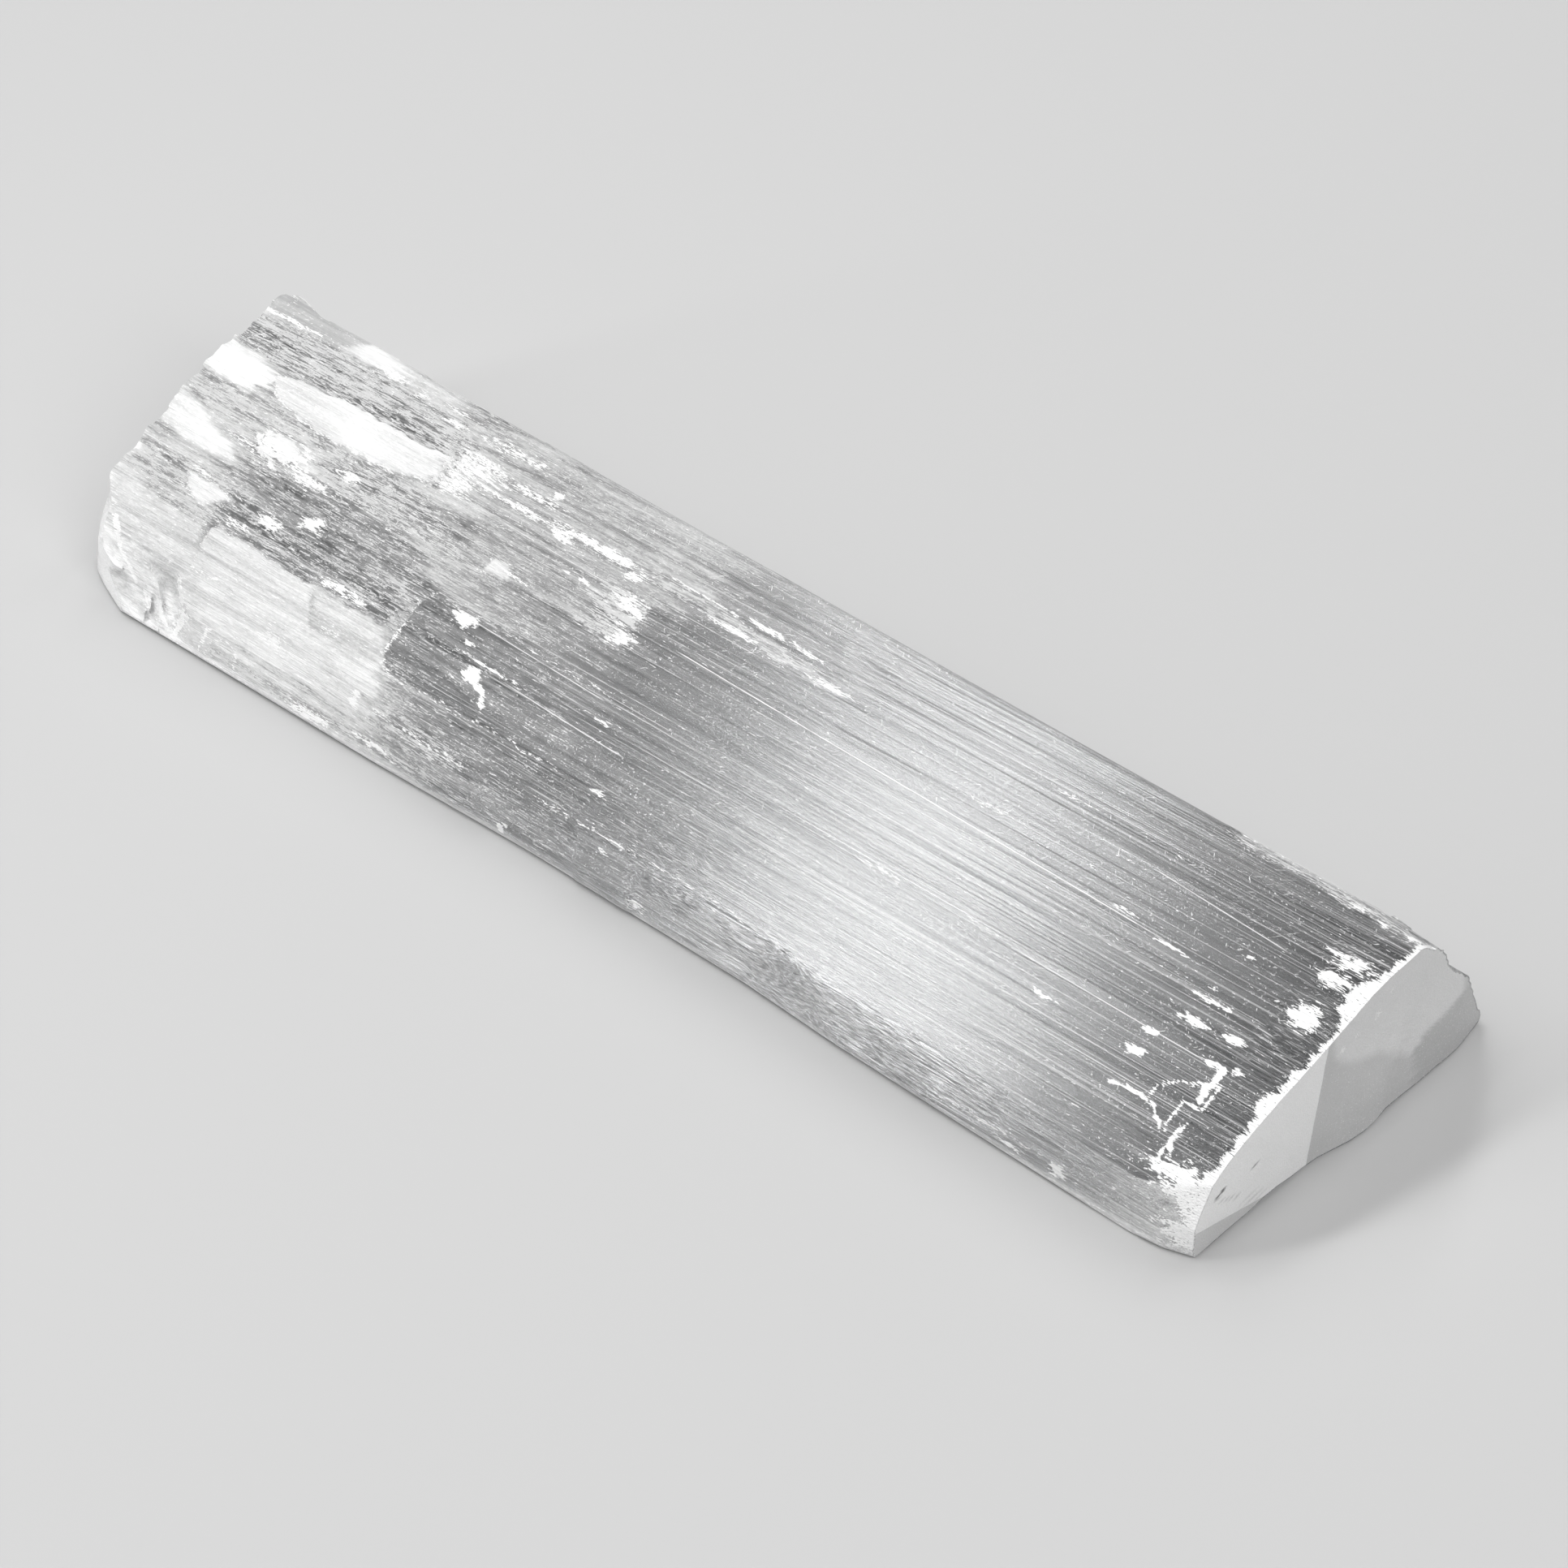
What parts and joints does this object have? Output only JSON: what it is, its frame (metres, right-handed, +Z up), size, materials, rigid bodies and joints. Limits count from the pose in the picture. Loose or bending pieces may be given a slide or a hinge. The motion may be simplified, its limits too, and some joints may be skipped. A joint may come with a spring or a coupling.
{
  "type": "selenite crystal blade",
  "caption": "Rough blade of fibrous selenite (satin spar): a long wedge with a sloping silky top, a low front face, a steep back and two broken ends, lying flat.",
  "frame": {"origin": "on the surface the blade rests on, under the middle of its outline", "axes": "+X along the fibres towards the smoothly broken end, +Y across the blade from its low front edge to its high back, +Z up"},
  "size_m": [0.2272, 0.0638, 0.0235],
  "materials": {
    "satin_spar": "silky, half clear, with white bruised fibres"
  },
  "bodies": {
    "root": {"selenite_blade": "satin_spar"}
  },
  "joints": []
}
